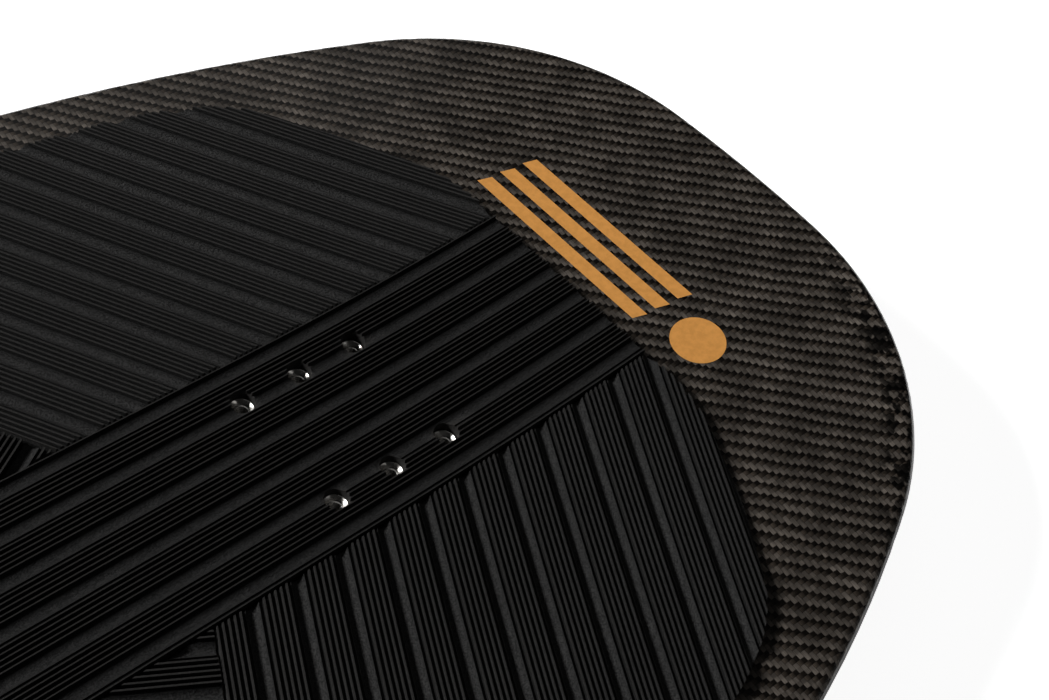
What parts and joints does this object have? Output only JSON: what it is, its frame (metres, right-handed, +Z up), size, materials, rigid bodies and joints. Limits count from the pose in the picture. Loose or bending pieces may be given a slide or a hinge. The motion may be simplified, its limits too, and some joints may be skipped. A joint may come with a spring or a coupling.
{
  "type": "kiteboard",
  "caption": "Short round-nosed carbon foil kiteboard with a kicked nose, bevelled rails, grooved EVA deck pads, strap inserts and twin foil tracks.",
  "frame": {"origin": "On the flat bottom, under the middle of the board's length and width.", "axes": "+X to the nose, +Y to port, +Z up through the deck."},
  "size_m": [1.2449, 0.4444, 0.0607],
  "materials": {
    "carbon_twill": "2x2 twill carbon under a satin clear coat",
    "rail_carbon": "satin black carbon",
    "eva_black": "grooved closed-cell EVA, matte",
    "core_foam": "cut foam",
    "hard_foam": "high-density foam",
    "stringer_glass": "laminated stringer",
    "stainless": "turned stainless steel",
    "nylon_black": "moulded nylon",
    "track_black": "moulded glass-filled nylon",
    "seal_rubber": "nitrile rubber"
  },
  "bodies": {
    "board": {"deck_laminate": "carbon_twill", "hull_laminate": "rail_carbon", "foam_core": "core_foam", "stringer_port": "stringer_glass", "stringer_starboard": "stringer_glass", "mast_block": "hard_foam", "front_insert_block": "hard_foam", "rear_insert_block": "hard_foam", "front_insert_plugs": "nylon_black", "rear_insert_plugs": "nylon_black", "front_insert_bushes": "stainless", "rear_insert_bushes": "stainless", "track_box_port": "track_black", "track_box_starboard": "track_black", "vent_body": "nylon_black", "vent_seal": "seal_rubber", "centre_strip_pad": "eva_black", "front_pad_port": "eva_black", "front_pad_starboard": "eva_black", "mid_pad_port": "eva_black", "mid_pad_starboard": "eva_black", "rear_pad_port": "eva_black", "rear_pad_starboard": "eva_black"},
    "front_port_nut": {"track_nut_front_port": "stainless"},
    "front_starboard_nut": {"track_nut_front_starboard": "stainless"},
    "rear_port_nut": {"track_nut_rear_port": "stainless"},
    "rear_starboard_nut": {"track_nut_rear_starboard": "stainless"},
    "vent_screw": {"vent_screw": "stainless"}
  },
  "joints": [
    {"name": "front_port_nut_slide", "type": "slide", "parent": "board", "child": "front_port_nut", "axis": [1, 0, 0], "range_m": [-0.053, 0.025]},
    {"name": "front_starboard_nut_slide", "type": "slide", "parent": "board", "child": "front_starboard_nut", "axis": [1, 0, 0], "range_m": [-0.053, 0.025]},
    {"name": "rear_port_nut_slide", "type": "slide", "parent": "board", "child": "rear_port_nut", "axis": [1, 0, 0], "range_m": [-0.025, 0.053]},
    {"name": "rear_starboard_nut_slide", "type": "slide", "parent": "board", "child": "rear_starboard_nut", "axis": [1, 0, 0], "range_m": [-0.025, 0.053]},
    {"name": "vent_screw_turn", "type": "hinge", "parent": "board", "child": "vent_screw", "pos_m": [0.232, 0, 0.038], "axis": [0, 0, 1], "range_deg": [0, 810]}
  ]
}
